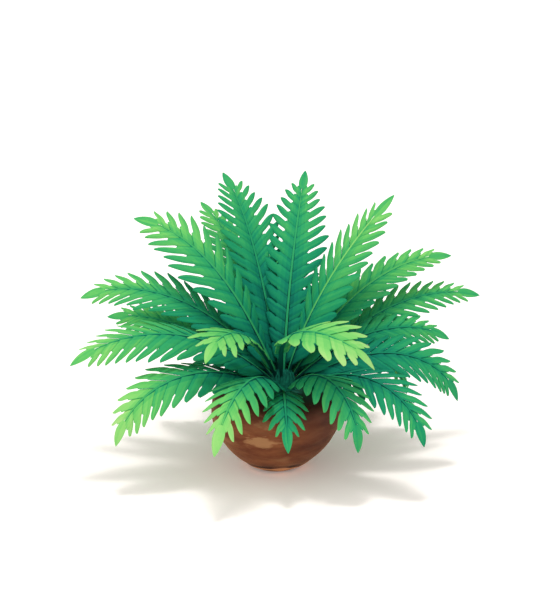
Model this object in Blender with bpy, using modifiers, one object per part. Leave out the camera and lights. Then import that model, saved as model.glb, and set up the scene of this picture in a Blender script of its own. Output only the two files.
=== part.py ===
"""A squat cycad: a round trunk, a growing point on top of it, and a crown of arching, feather-cut fronds.

Metres, +Z up. The origin is the middle of the flat cut under the trunk, at ground level.
-Y is the side that faces the viewer, and azimuths are degrees from +X, anticlockwise from above.
"""

import math
from collections import namedtuple

import bmesh
import bpy
from mathutils import Matrix, Vector
from mathutils.bvhtree import BVHTree

GAP = 0.0003  # between pieces that meet
SPLIT_GAP = 0.0013  # along the rib, where a frond is in two pieces
SMOOTH_UNDER = 50.0  # degrees between faces that are shaded as one surface

# The trunk is nearly a ball below its widest ring, and above it a low cap with round shoulders.
TRUNK_RADIUS = 0.233
TRUNK_WIDEST_Z = 0.214
TRUNK_HEIGHT = 0.284
TRUNK_CAP_POWER = 4.0
TRUNK_FOOT_POWER = 1.75  # under 2, so its lower half is a little narrower than a ball's
TRUNK_LEAN = 0.026  # how far +X the top stands from the foot
LEAN_POWER = 6  # it leans only near the top
TRUNK_SWELL = 0.003  # depth of its broad, uneven swellings
SWELLS = ((3, 0.0, 0.6, 1.0), (5, 4.0, 2.0, 0.6))  # waves around, twist, phase and share of each
TRUNK_SIDES = 40
TRUNK_RINGS = 20
POLE = 1e-6  # keeps a division clear of the ball's two poles

# The growing point is a dome, and every frond leaves it square to its surface.
CROWN_CENTRE = Vector((TRUNK_LEAN, -0.010, 0.270))
CROWN_RADIUS = 0.060
BUD_SIDES = 32
BUD_RINGS = 16

# A rib is thickest at the crown, and its blade is a thin sheet on both sides of it.
STALK_HALF_WIDTH = 0.0055
RIB_HALF_WIDTH = 0.0030
STALK_THICKNESS = 0.0090
RIB_THICKNESS = 0.0035
STALK_EDGE_THICKNESS = 0.0050
BLADE_THICKNESS = 0.0020
STALK_SPANS = 3
RIB_STEPS = 64  # steps of the walk along a rib
ROLL_POWER = 0.6  # a blade rolls most in its lower half

# Leaflets stand along the rib in pairs.
BLADE_HALF_WIDTH = 0.103  # where a frond of size 1 is widest
WIDTH_AT_TIP = 0.31
WIDTH_RISE = 1.4  # how soon a frond grows wide, and how late it narrows again
WIDTH_FADE = 1.5
FOOT_ANGLE = 5.0  # by how many degrees more a frond's leaflets stand out at its foot
TIP_ANGLE = -10.0  # and at its tip
LEAFLET_SAG = 8.0  # degrees that they hang, besides the fold
SHOULDER_SHARE = 0.72  # how far out a leaflet's back edge runs before it turns to the tip
TIP_FORWARD = 0.10  # of the leaflet's width
TIP_LOBE_SHARE = 0.11  # of the frond's length
TIP_LOBE_HALF_WIDTH = 0.017
LEAFLET_SCALES = (1.0, 0.8, 0.6, 0.42)  # tried in turn until a leaflet is clear of other fronds
CLEARANCE = 0.0012

SPLIT_OVER = 90.0  # a frond that bends by more degrees than this is two pieces

# azimuth and turn of the heading, pitch at the crown and at the tip, how late it bends, length,
# roll at the tip, fold of the leaflets, their size, their angle to the rib, how long they are at
# the crown, where they are longest, the bare share of the stalk, and how far apart they stand
Frond = namedtuple(
    "Frond", "azimuth turn rise nod bend length roll fold size angle base full bare spacing"
)
FRONDS = {
    "upper_frond_left": Frond(114, 3, 63.6, 23.9, 2.65, 0.810, 1, -14, 1.06, 56, 0.60, 0.56, 0.12, 0.051),
    "upper_frond_middle": Frond(80, 0, 80, 37, 0.7, 0.793, 0, -2, 1.02, 58, 0.52, 0.52, 0.12, 0.055),
    "upper_frond_right": Frond(20, 1, 74.1, 42.7, 0.86, 0.732, -28, 0, 1.09, 48, 0.90, 0.32, 0.12, 0.062),
    "upper_frond_behind": Frond(111, 10, 51.9, 16.5, 1.33, 0.843, 1, 0, 0.82, 50, 0.60, 0.50, 0.20, 0.062),
    "young_frond_left": Frond(-140, 29, 62, -48, 1.6, 0.530, 15, 4, 0.94, 56, 0.22, 0.66, 0.30, 0.062),
    "young_frond_right": Frond(-104, 108, 66, -60, 1.4, 0.635, -25, 0, 1.04, 60, 0.22, 0.64, 0.24, 0.062),
    "front_frond_middle": Frond(-90, 5, 20, -60, 1.3, 0.415, 0, 10, 0.74, 50, 0.78, 0.40, 0.18, 0.062),
    "front_frond_right": Frond(-58, -2, 35, -98, 1.55, 0.560, -10, 14, 0.98, 52, 0.78, 0.40, 0.16, 0.065),
    "front_frond_left": Frond(-113, 2, 34, -64, 1.3, 0.620, 12, 14, 1.04, 52, 0.78, 0.40, 0.16, 0.075),
    "middle_frond_1": Frond(30, -2, 53.7, -8.8, 1.48, 0.787, -44, 2, 0.70, 42, 0.74, 0.40, 0.14, 0.069),
    "middle_frond_2": Frond(28, -3, 37.7, -19.3, 1.62, 0.815, -54, 8, 0.76, 42, 0.70, 0.40, 0.14, 0.060),
    "middle_frond_3": Frond(8, 25, 44, -35, 1.2, 0.652, -56, 8, 0.74, 42, 0.78, 0.40, 0.18, 0.059),
    "middle_frond_4": Frond(163, -11, 64.4, -0.8, 2.02, 0.793, 45, 6, 1.15, 48, 0.62, 0.46, 0.12, 0.068),
    "middle_frond_5": Frond(170, -6, 52, -27, 1.4, 0.805, 52, 2, 0.88, 40, 0.62, 0.40, 0.14, 0.062),
    "middle_frond_6": Frond(158, -4, 35, -14, 1.3, 0.685, 46, 4, 0.82, 42, 0.78, 0.40, 0.16, 0.060),
    "middle_frond_7": Frond(-166, -2, 45, -38, 1.25, 0.770, 36, 14, 1.13, 48, 0.78, 0.40, 0.16, 0.059),
    "outer_frond_1": Frond(-8, 18, 33, -77, 1.7, 0.665, -58, 6, 0.90, 44, 0.78, 0.40, 0.16, 0.057),
    "outer_frond_2": Frond(-36, -5, 28, -80, 1.7, 0.640, -34, 10, 0.90, 46, 0.78, 0.40, 0.16, 0.060),
    "outer_frond_3": Frond(-150, -4, 28, -78, 1.6, 0.695, 44, 12, 0.97, 50, 0.78, 0.40, 0.16, 0.062),
    "back_frond_1": Frond(90, 0, 57, -8, 1.4, 0.690, 0, 4, 0.96, 48, 0.78, 0.40, 0.16, 0.057),
    "back_frond_2": Frond(64, 4, 54, -30, 1.3, 0.720, -8, 8, 0.94, 48, 0.78, 0.40, 0.16, 0.057),
    "back_frond_3": Frond(58, 0, 37, -56, 1.4, 0.720, -12, 10, 0.98, 48, 0.78, 0.40, 0.16, 0.057),
    "back_frond_4": Frond(84, 0, 40, -52, 1.4, 0.740, 0, 10, 0.98, 48, 0.78, 0.40, 0.16, 0.057),
    "back_frond_5": Frond(112, 0, 38, -54, 1.4, 0.740, 0, 10, 0.98, 48, 0.78, 0.40, 0.16, 0.057),
    "back_frond_6": Frond(134, 2, 37, -60, 1.4, 0.700, 12, 10, 0.98, 48, 0.78, 0.40, 0.16, 0.057),
    "back_frond_7": Frond(40, 0, 22, -74, 1.5, 0.640, -12, 10, 0.98, 48, 0.78, 0.40, 0.16, 0.057),
    "back_frond_8": Frond(72, 0, 22, -74, 1.5, 0.640, 0, 10, 0.98, 48, 0.78, 0.40, 0.16, 0.057),
    "back_frond_9": Frond(100, 0, 22, -74, 1.5, 0.640, 0, 10, 0.98, 48, 0.78, 0.40, 0.16, 0.057),
    "back_frond_10": Frond(128, 0, 20, -74, 1.5, 0.640, 12, 10, 0.98, 48, 0.78, 0.40, 0.16, 0.057),
}

Place = namedtuple("Place", "point along across up")


def cleared_scene():
    for old in list(bpy.data.objects):
        bpy.data.objects.remove(old)


def material(name, colour, roughness):
    made = bpy.data.materials.new(name)
    made.use_nodes = True
    shader = made.node_tree.nodes["Principled BSDF"]
    shader.inputs["Base Color"].default_value = (*colour, 1.0)
    shader.inputs["Roughness"].default_value = roughness
    shader.inputs["Metallic"].default_value = 0.0
    return made


def add_object(name, mesh, collection, surface):
    made = bpy.data.objects.new(name, mesh)
    collection.objects.link(made)
    made.data.materials.append(surface)
    return made


def mesh_of(shape, name):
    mesh = bpy.data.meshes.new(name)
    bmesh.ops.recalc_face_normals(shape, faces=shape.faces)
    shape.to_mesh(mesh)
    shape.free()
    mesh.shade_smooth()
    mesh.set_sharp_from_angle(angle=math.radians(SMOOTH_UNDER))
    return mesh


# Trunk and growing point


def cut_below(shape, height):
    """Removes what lies under a level plane and closes the cut."""
    cut = bmesh.ops.bisect_plane(
        shape,
        geom=shape.verts[:] + shape.edges[:] + shape.faces[:],
        plane_co=(0, 0, height),
        plane_no=(0, 0, 1),
        clear_inner=True,
    )
    edges = [item for item in cut["geom_cut"] if isinstance(item, bmesh.types.BMEdge)]
    bmesh.ops.edgeloop_fill(shape, edges=edges)


def trunk_point(unit):
    """Where a point of the unit ball goes on the trunk."""
    if unit.z > 0:
        reach = math.hypot(unit.x, unit.y)
        rise = (1 - min(1.0, reach) ** TRUNK_CAP_POWER) ** (1 / TRUNK_CAP_POWER)
        height = TRUNK_WIDEST_Z + (TRUNK_HEIGHT - TRUNK_WIDEST_Z) * rise
        slim = 1.0
    else:
        height = TRUNK_WIDEST_Z + TRUNK_RADIUS * unit.z
        ball = math.sqrt(max(POLE, 1 - unit.z**2))
        slim = (1 - abs(unit.z) ** TRUNK_FOOT_POWER) ** (1 / TRUNK_FOOT_POWER) / ball
    turn = math.atan2(unit.y, unit.x)
    swell = sum(
        share * math.sin(waves * turn + twist * unit.z + phase)
        for waves, twist, phase, share in SWELLS
    )
    radius = TRUNK_RADIUS * slim + TRUNK_SWELL * swell * (1 - abs(unit.z))
    lean = TRUNK_LEAN * max(0.0, height / TRUNK_HEIGHT) ** LEAN_POWER
    return Vector((unit.x * radius + lean, unit.y * radius, height))


def trunk_mesh():
    shape = bmesh.new()
    bmesh.ops.create_uvsphere(
        shape, u_segments=TRUNK_SIDES, v_segments=TRUNK_RINGS, radius=1.0
    )
    for vertex in shape.verts:
        vertex.co = trunk_point(vertex.co)
    cut_below(shape, 0.0)
    return mesh_of(shape, "trunk")


def bud_mesh():
    shape = bmesh.new()
    bmesh.ops.create_uvsphere(
        shape,
        u_segments=BUD_SIDES,
        v_segments=BUD_RINGS,
        radius=CROWN_RADIUS - GAP,
        matrix=Matrix.Translation(CROWN_CENTRE),
    )
    cut_below(shape, TRUNK_HEIGHT + GAP)
    return mesh_of(shape, "growing_point")


# Fronds


def blend(first, last, share):
    return first + (last - first) * share


def heading(azimuth, pitch):
    a, p = math.radians(azimuth), math.radians(pitch)
    return Vector((math.cos(p) * math.cos(a), math.cos(p) * math.sin(a), math.sin(p)))


def course(frond, t):
    """The azimuth and the pitch of a rib at a share t of its length."""
    return frond.azimuth + frond.turn * t, blend(frond.rise, frond.nod, t**frond.bend)


def rib_places(frond):
    """Places along a rib, from its foot on the crown to its tip."""
    point = CROWN_CENTRE + CROWN_RADIUS * heading(frond.azimuth, frond.rise)
    places = []
    for step in range(RIB_STEPS + 1):
        t = step / RIB_STEPS
        azimuth, pitch = course(frond, t)
        along, across = heading(azimuth, pitch), heading(azimuth - 90, 0)
        roll = math.radians(frond.roll) * t**ROLL_POWER
        rolled = across * math.cos(roll) + across.cross(along) * math.sin(roll)
        places.append(Place(point.copy(), along, rolled, rolled.cross(along)))
        point += heading(*course(frond, t + 0.5 / RIB_STEPS)) * frond.length / RIB_STEPS
    return places


def place_at(places, t):
    """The place at a share t of the way along a rib."""
    whole = min(max(t, 0.0), 1.0) * RIB_STEPS
    first = min(int(whole), RIB_STEPS - 1)
    share = whole - first
    return Place(*(a.lerp(b, share) for a, b in zip(places[first], places[first + 1])))


def width_at(frond, u):
    """Half a frond's width at a share u of its blade, as a share of its greatest."""
    if u < frond.full:
        return 1 - (1 - frond.base) * (1 - u / frond.full) ** WIDTH_RISE
    return 1 - (1 - WIDTH_AT_TIP) * ((u - frond.full) / (1 - frond.full)) ** WIDTH_FADE


class Blade:
    """One frond's stations along the rib, and the leaflets between them."""

    def __init__(self, frond):
        self.frond = frond
        self.places = rib_places(frond)
        top = 1 - TIP_LOBE_SHARE
        self.pairs = round((top - frond.bare) * frond.length / frond.spacing)
        bare = [frond.bare * (i / STALK_SPANS) ** 2 for i in range(STALK_SPANS)]
        leafy = [blend(frond.bare, top, i / self.pairs) for i in range(self.pairs + 1)]
        self.shares = bare + leafy
        self.scales = {}

    def station(self, t):
        """The rib's left edge, crest and right edge at a share t of its length."""
        place = place_at(self.places, t)
        half = blend(STALK_HALF_WIDTH, RIB_HALF_WIDTH, t)
        return [place.point + place.across * half * side for side in (-1, 0, 1)]

    def leaflet(self, pair, side, scale):
        """The corners of one leaflet: its front foot, back foot, shoulder and tip."""
        t_back, t_front = self.shares[STALK_SPANS + pair : STALK_SPANS + pair + 2]
        edge = 2 if side > 0 else 0
        back, front = self.station(t_back)[edge], self.station(t_front)[edge]
        place = place_at(self.places, (t_back + t_front) / 2)
        u = (pair + 0.5) / self.pairs
        angle = math.radians(self.frond.angle + blend(FOOT_ANGLE, TIP_ANGLE, u))
        fold = math.radians(self.frond.fold + LEAFLET_SAG)
        out = place.across * side * math.cos(fold) - place.up * math.sin(fold)
        line = place.along * math.cos(angle) + out * math.sin(angle)
        half_width = BLADE_HALF_WIDTH * self.frond.size * width_at(self.frond, u)
        reach = half_width / math.sin(angle) * scale
        tip = (back + front) / 2 + line * reach + (front - back) * TIP_FORWARD
        return front, back, back + line * reach * SHOULDER_SHARE, tip

    def tip_lobe(self):
        """The rounded sides and the point of the lobe that ends the frond."""
        half_way = place_at(self.places, 1 - TIP_LOBE_SHARE * 0.5)
        width = TIP_LOBE_HALF_WIDTH * self.frond.size
        left, right = (half_way.point + half_way.across * width * s for s in (-1, 1))
        return left, self.places[-1].point, right


def walls_of(corners, half):
    """A thin prism round a flat outline, as points and faces."""
    normal = (corners[2] - corners[0]).cross(corners[1] - corners[-1]).normalized() * half
    count = len(corners)
    points = [c + normal for c in corners] + [c - normal for c in corners]
    faces = [tuple(range(count)), tuple(range(count, 2 * count))]
    faces += [(i, (i + 1) % count, (i + 1) % count + count, i + count) for i in range(count)]
    return points, faces


def tree_of(prisms):
    points, faces = [], []
    for more_points, more_faces in prisms:
        faces += [tuple(i + len(points) for i in face) for face in more_faces]
        points += more_points
    return BVHTree.FromPolygons(points, faces) if faces else None


def rib_walls(blade):
    """Prisms round the rib, and round the lobe at its end."""
    prisms = []
    for t_back, t_front in zip(blade.shares, blade.shares[1:]):
        (a, _, b), (d, _, c) = blade.station(t_back), blade.station(t_front)
        half = blend(STALK_THICKNESS, RIB_THICKNESS, t_back) / 2 + CLEARANCE
        prisms.append(walls_of([a, b, c, d], half))
    left, point, right = blade.tip_lobe()
    foot = blade.station(blade.shares[-1])[1]
    prisms.append(walls_of([foot, left, point, right], BLADE_THICKNESS / 2 + CLEARANCE))
    return prisms


def size_leaflets(blades, solids):
    """Gives each leaflet the largest scale that keeps it clear of the other fronds and of the trunk."""
    ribs = {name: tree_of(rib_walls(blade)) for name, blade in blades.items()}
    settled = []
    for name, blade in blades.items():
        others = solids + settled + [tree for key, tree in ribs.items() if key != name]
        accepted = []
        for pair in range(blade.pairs):
            for side in (-1, 1):
                for scale in LEAFLET_SCALES:
                    front, back, shoulder, tip = blade.leaflet(pair, side, scale)
                    prism = walls_of([front, back, shoulder, tip], BLADE_THICKNESS / 2 + CLEARANCE)
                    tree = tree_of([prism])
                    if not any(tree.overlap(other) for other in others):
                        blade.scales[pair, side] = scale
                        accepted.append(prism)
                        break
        settled.append(tree_of(accepted))
        settled = [tree for tree in settled if tree]


def blade_sheet(blade, first, last, name, start_gap):
    """The open sheet of a frond from one station to another, with how thick each vertex is."""
    shape = bmesh.new()
    weight = shape.verts.layers.deform.verify()
    shares = list(blade.shares[first : last + 1])
    shares[0] += start_gap / blade.frond.length

    def vertex(point, thickness):
        made = shape.verts.new(point)
        made[weight][0] = thickness / STALK_THICKNESS
        return made

    rows = []
    for index, t in enumerate(shares, first):
        crest = blend(STALK_THICKNESS, RIB_THICKNESS, t)
        edge = STALK_EDGE_THICKNESS if index < STALK_SPANS else BLADE_THICKNESS
        left, middle, right = blade.station(t)
        rows.append([vertex(left, edge), vertex(middle, crest), vertex(right, edge)])
    for back, front in zip(rows, rows[1:]):
        shape.faces.new((back[0], back[1], front[1], front[0]))
        shape.faces.new((back[1], back[2], front[2], front[1]))
    for (pair, side), scale in blade.scales.items():
        row = STALK_SPANS + pair - first
        if not 0 <= row < len(rows) - 1:
            continue
        edge = 2 if side > 0 else 0
        _, _, shoulder, tip = blade.leaflet(pair, side, scale)
        outer = [vertex(tip, BLADE_THICKNESS), vertex(shoulder, BLADE_THICKNESS)]
        loop = [rows[row + 1][edge], *outer, rows[row][edge]]
        shape.faces.new(loop if side < 0 else loop[::-1])
    if last == len(blade.shares) - 1:
        left, point, right = (vertex(p, BLADE_THICKNESS) for p in blade.tip_lobe())
        shape.faces.new((rows[-1][0], rows[-1][1], point, left))
        shape.faces.new((rows[-1][1], rows[-1][2], right, point))
    mesh = bpy.data.meshes.new(name)
    shape.to_mesh(mesh)
    shape.free()
    return mesh


def add_frond_piece(blade, first, last, name, start_gap, collection, surface):
    piece = add_object(name, blade_sheet(blade, first, last, name, start_gap), collection, surface)
    piece.vertex_groups.new(name="thickness")
    thick = piece.modifiers.new("Thickness", "SOLIDIFY")
    thick.thickness = STALK_THICKNESS
    thick.offset = 0.0
    thick.vertex_group = "thickness"
    return piece


def split_station(blade):
    """The station where a frond has done half its bending."""
    half_way = 0.5 ** (1 / blade.frond.bend)
    return min(range(len(blade.shares)), key=lambda i: abs(blade.shares[i] - half_way))


def add_frond(name, blade, collection, surface):
    last = len(blade.shares) - 1
    if blade.frond.rise - blade.frond.nod <= SPLIT_OVER:
        add_frond_piece(blade, 0, last, name, 0.0, collection, surface)
        return
    middle = split_station(blade)
    add_frond_piece(blade, 0, middle, name + "_foot", 0.0, collection, surface)
    add_frond_piece(blade, middle, last, name + "_end", SPLIT_GAP, collection, surface)


def bvh_of_mesh(mesh):
    return BVHTree.FromPolygons(
        [v.co for v in mesh.vertices], [tuple(p.vertices) for p in mesh.polygons]
    )


def main():
    cleared_scene()
    collection = bpy.data.collections.new("cycad")
    bpy.context.scene.collection.children.link(collection)
    bark = material("bark", (0.26, 0.12, 0.06), 0.8)
    bud = material("bud", (0.10, 0.12, 0.05), 0.8)
    leaf = material("leaf", (0.07, 0.36, 0.16), 0.45)
    trunk = add_object("trunk", trunk_mesh(), collection, bark)
    dome = add_object("growing_point", bud_mesh(), collection, bud)
    blades = {name: Blade(frond) for name, frond in FRONDS.items()}
    size_leaflets(blades, [bvh_of_mesh(trunk.data), bvh_of_mesh(dome.data)])
    for name, blade in blades.items():
        add_frond(name, blade, collection, leaf)


main()
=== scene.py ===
"""The looks of a squat cycad: a round, streaked trunk and a crown of arching fronds with fine leaflets.

Metres, +Z up, in the frame of the solids. -Y faces the viewer. Azimuths are degrees from +X,
anticlockwise from above.
"""

import math
import random
from collections import namedtuple

import bpy
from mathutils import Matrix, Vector, noise


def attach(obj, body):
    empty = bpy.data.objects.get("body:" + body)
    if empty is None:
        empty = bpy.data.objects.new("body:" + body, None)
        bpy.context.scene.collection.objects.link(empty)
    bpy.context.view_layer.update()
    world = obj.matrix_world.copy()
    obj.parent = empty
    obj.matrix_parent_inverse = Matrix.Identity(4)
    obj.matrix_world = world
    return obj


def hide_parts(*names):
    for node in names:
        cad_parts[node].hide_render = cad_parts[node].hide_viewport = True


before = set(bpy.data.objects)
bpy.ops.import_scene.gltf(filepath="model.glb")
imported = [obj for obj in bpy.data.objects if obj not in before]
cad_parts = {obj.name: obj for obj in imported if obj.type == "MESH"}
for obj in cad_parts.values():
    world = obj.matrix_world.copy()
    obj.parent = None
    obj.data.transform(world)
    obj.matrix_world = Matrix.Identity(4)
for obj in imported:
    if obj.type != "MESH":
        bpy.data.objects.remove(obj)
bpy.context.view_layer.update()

SEED = 11  # of the leaflets' play

# The trunk, as the solid has it
TRUNK_RADIUS = 0.233
TRUNK_WIDEST_Z = 0.214
TRUNK_HEIGHT = 0.284
TRUNK_CAP_POWER = 4.0
TRUNK_FOOT_POWER = 1.75  # under 2, so its lower half is a little narrower than a ball's
TRUNK_LEAN = 0.026  # how far +X the top stands from the foot
LEAN_POWER = 6  # it leans only near the top
TRUNK_SWELL = 0.003  # depth of its broad, uneven swellings
SWELLS = ((3, 0.0, 0.6, 1.0), (5, 4.0, 2.0, 0.6))  # waves around, twist, phase, share
POLE = 1e-6  # keeps a division clear of the ball's lowest point

# Its bark: long level wrinkles, and fine ones between them
BARK_SIDES = 300
BARK_RINGS = 150
# depth, and waves a metre around and up
WRINKLES = ((0.0024, 5.0, 16.0), (0.0011, 14.0, 52.0), (0.0005, 40.0, 170.0))
RELIEF_KEPT = 1.2  # the share of its relief that a point keeps, less how far up or down it lies
LIP_HEIGHT = 0.018  # the lip around its foot, a low ridge whose pale colour is a painted highlight
LIP_WANDER = 0.009  # how far it strays up and down
LIP_WAVES = 22  # and how often, in waves a metre
LIP_WIDTH = 0.0080
LIP_DEPTH = 0.0050  # how far it stands out
GROOVE_ABOVE = 0.012  # the groove over it, painted dark as shade
GROOVE_DEPTH = 0.4  # of the lip's
GROOVE_SHARE = 0.55  # how much of it shows
GROOVE_PLAY = 1.6  # how much that comes and goes
GROOVE_WAVES = 17  # and how often, in waves a metre

# The crown, as the solids have it
CROWN_CENTRE = Vector((TRUNK_LEAN, -0.010, 0.270))
CROWN_RADIUS = 0.060
RIB_STEPS = 64  # steps of the walk along a rib
ROLL_POWER = 0.6  # a blade rolls most in its lower half
BLADE_HALF_WIDTH = 0.103  # where a frond of size 1 is widest
WIDTH_AT_TIP = 0.31  # of a frond, of its greatest
WIDTH_RISE = 1.4  # how soon a frond grows wide, and how late it narrows again
WIDTH_FADE = 1.5
FOOT_ANGLE = 5.0  # by how many degrees more a frond's leaflets stand out at its foot
TIP_ANGLE = -10.0  # and at its tip

# The ribs, rounder and stouter than the solids' are
STALK_HALF_WIDTH = 0.0092
STALK_THICKNESS = 0.0120
STALK_NECK = 0.55  # how far a rib has swelled where it leaves the dome
STALK_SWOLLEN_AT = 0.12  # and the share of its length by which it has all of its width
RIB_HALF_WIDTH = 0.0044
RIB_THICKNESS = 0.0060
RIB_THINS = 0.8  # how soon it thins, as a power of the share of its length
RIB_STATIONS = 44
RIB_SHORT_BY = 0.35  # how much of the tip leaflet it leaves free
RIB_POINT = 0.8  # how much narrower its end is
RIB_POINT_FROM = 0.7  # where it starts to narrow to that, and over what share of its length
RIB_POINT_SPAN = 0.3
RIB_MARKS = 8  # its length in leaf coordinates
# Its outline: across and up, in half widths and in half thicknesses
RIB_OUTLINE = (
    (-1.0, 0.05), (-0.50, 0.90), (-0.25, 1.0), (0.0, 0.93), (0.25, 1.0), (0.50, 0.90), (1.0, 0.05),
    (0.75, -0.8), (0.0, -1.25), (-0.75, -0.8),
)
# Painted light and shade on the rib: how much paler than the blade each of its faces is, near the
# crown and further out. Near the crown its ridge and groove are paler, lifting the crown's shade;
# further out its groove is painted shade; its ridge stays paler than its sides and underside, which
# are painted shade
RIB_RIDGE_PAINTED_LIGHT = (0.24, -0.05)
RIB_GROOVE_PAINTED_SHADING = (0.16, -0.10)
RIB_SIDE_PAINTED_SHADE = (-0.36, -0.30)
RIB_FADES_BY = 0.75  # the share of its length from which it counts as further out

# The leaflet that ends a frond
TIP_LOBE_LENGTH = 0.086
TIP_LOBE_HALF_WIDTH = 0.016
TIP_LOBE_WIDEST = 0.38  # where, of its length
TIP_LOBE_FOOT = 0.62  # its width at its foot and at its point, of its greatest
TIP_LOBE_POINT = 0.04
TIP_LOBE_POWER = 1.7
TIP_LOBE_ROUND = 0.8
TIP_LOBE_ROWS = 12
TIP_LOBE_INNER_SHARE = 0.6  # share of its length over which the painted shade beside the rib fades
TIP_LOBE_TINT = -0.12  # how much paler its point is

# The other leaflets, finer than the solids' are
LOW_LEAFLETS = 0.10  # share of the rib along which the lowest leaflets grow to their width
LOWEST_WIDTH = 0.45
GAP_AT_FOOT = 1.05  # how far apart they stand at the crown and at the tip, of the middle
GAP_AT_TIP = 0.90
GAP_FOOT_SHARE = 0.40  # how much of the frond counts as its foot in this
WEB_AT_FOOT = 0.48  # share of a leaflet's length that is grown together with the next
WEB_AT_TIP = 0.36
WEB_FADE = 0.7  # how soon that changes, as a power of the share of the frond
WEB_MOST = 0.82
WEB_WIDTH = 1.04  # over 1, so grown-together leaflets meet in a crease
LEAFLET_ROOT = 0.6  # how far out a leaflet starts, of the rib's half width
FINGER_WIDTH_FOOT = 0.86  # its free part's width near the crown and at the tip, of its space
FINGER_WIDTH_TIP = 0.54
FINGER_BULGE = 0.10
FINGER_FREE_BY = 0.10  # share of the free part by which it has narrowed to that
TIP_FROM = 0.46  # where its free part starts to round off, of that part's length
TIP_POWER = 1.9
TIP_ROUND = 0.66
TIP_LEAST = 0.05  # its width at the very end
TIP_HOOK = 0.30  # how far the tip leans forward, of the leaflet's width
BOW = 14.0  # degrees that a leaflet bends back along its length
BOW_MIDDLE = 0.4  # and the share of its length at which it stands at its own angle
DROOP = 16.0  # degrees that it sags
PILLOW = 0.0042  # height of a leaflet's rounded upper face
PILLOW_AT_RIB = 0.25  # how far that has risen at the rib
PILLOW_RISE = 0.12  # and the share of its length over which it would rise from nothing
CREASE = 0.30  # depth of its middle vein, of that height
TILT = 0.0015  # how much higher its front edge lies than its middle
LEAF_THICKNESS = 0.0012
# Rows of points along its grown-together part and its free part, and columns across it
WEB_ROWS = (0.0, 0.4, 0.75, 0.96)
FINGER_ROWS = (0.04, 0.10, 0.22, 0.36, 0.50, 0.63, 0.75, 0.86, 0.94, 1.0)
COLUMNS = (-1.0, -0.88, -0.45, 0.0, 0.45, 0.88, 1.0)
ANGLE_PLAY = 4.5  # degrees by which a leaflet strays from the rule
REACH_PLAY = 0.07  # and the share of its length by which it does
TINT_PLAY = 0.03  # and how much paler or darker a leaflet is, and each stripe of it
STREAK_PLAY = 0.055
SEAM_PAINTED_SHADE = -0.12  # how much paler a leaflet's edge is where it is grown to the next: painted shade in the crease
EDGE_FREE_BY = 0.25  # share of the free part by which its edge has the free edge's tint
RAISED_SIDE_PAINTED_LIGHT = 0.05  # how much paler the side of a rolled frond is that stands up: painted light lifting its shade
ROLLED = 60.0  # degrees of roll at which it is that much paler
INNER_PAINTED_SHADE = -0.09  # how much paler a leaflet is beside the rib: painted shade along the rib
INNER_SHARE = 0.30  # share of its length by which that has faded
HOLLOW_PAINTED_LIGHT = 0.06  # how much paler a frond is where it leaves the crown's dark hollow: painted light lifting that shade
HOLLOW_SHARE = 0.30  # share of the rib by which that has faded

SMOOTH_UNDER = 42.0  # degrees between faces that are shaded as one surface

# The bark's spots of painted light and shade: their middles and half lengths
BARK_SPOTS = {
    # painted highlights: paler patches on the trunk's front
    "wide_painted_highlight": ((-0.055, -0.218, 0.154), (0.058, 0.060, 0.023)),
    "high_painted_highlight": ((-0.034, -0.231, 0.226), (0.034, 0.050, 0.022)),
    # painted shade: dark teal on the trunk's top, for the shade of the crown's hollow
    "crown": (CROWN_CENTRE, (0.17, 0.17, 0.05)),
}
SPOT_FADES = (0.70, 1.10)  # from where to where a spot fades, of its half lengths
RAGGED_SPOTS = ("wide_painted_highlight", "high_painted_highlight")
RAGGEDNESS = (0.10, 0.10, 0.05)  # how far their outlines stray
RAG_SIZE = 30.0

# The bark's noises: name, stretch along each axis, size, detail and roughness
BARK_NOISES = (
    ("blotches", (1, 1, 2.2), 9.0, 2.0, 0.5),
    ("streaks", (1, 1, 3.2), 9.0, 4.0, 0.6),
    ("grain", (1, 1, 6), 60.0, 5.0, 0.65),
)

# Colours of the bark as sRGB: its streaked ground, and the coats over it. Of a coat: the value that
# it goes by, at what values there is none of it and the most of it, how much that is, and its colour
BARK_GROUND = ((104, 52, 28), (131, 75, 42))
STREAK_SPAN = (0.36, 0.60)  # the streaks' values over which the one goes into the other
Coat = namedtuple("Coat", "by none full most tint")
BARK_COATS = (
    Coat("blotches", 0.55, 0.70, 0.60, (150, 102, 66)),
    # painted highlights: paler patches on the trunk's front
    Coat("wide_painted_highlight", 0, 1, 0.85, (166, 118, 78)),
    Coat("high_painted_highlight", 0, 1, 0.45, (166, 118, 78)),
    # painted shade: darker towards +X, the side away from the light
    Coat("x", 0.02, 0.17, 0.75, (82, 40, 24)),
    # painted shade: darker near the top, under the fronds
    Coat("z", 0.19, 0.27, 0.80, (66, 26, 18)),
    # painted shade: dark teal on the trunk's top, for the shade of the crown's hollow
    Coat("crown", 0, 1, 1, (14, 96, 78)),
    # painted shade: darker on the underside near the foot
    Coat("z", 0.045, 0.02, 0.80, (74, 46, 34)),
    # painted shade: darker in the hollows of the wrinkles
    Coat("relief", 0.42, 0.10, 0.70, (66, 32, 20)),
    # painted shade: dark in the groove over the lip
    Coat("edge", -0.1, -0.6, 0.90, (44, 16, 10)),
    # painted highlight: the pale lip around the foot
    Coat("edge", 0.2, 0.6, 0.95, (206, 142, 96)),
)
BARK_SHEEN = (196, 140, 96)  # of its felt, seen from the side

# Colours of the leaves, from the darkest to the palest, as sRGB
TINTS = 40  # how many plain colours there are, evenly along these keys
TINT_KEYS = (
    (0.00, (4, 56, 51)),
    (0.14, (7, 83, 70)),
    (0.28, (15, 113, 90)),
    (0.42, (30, 137, 92)),
    (0.56, (57, 157, 92)),
    (0.70, (94, 179, 92)),
    (0.84, (128, 195, 103)),
    (1.00, (160, 202, 120)),
)

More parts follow.
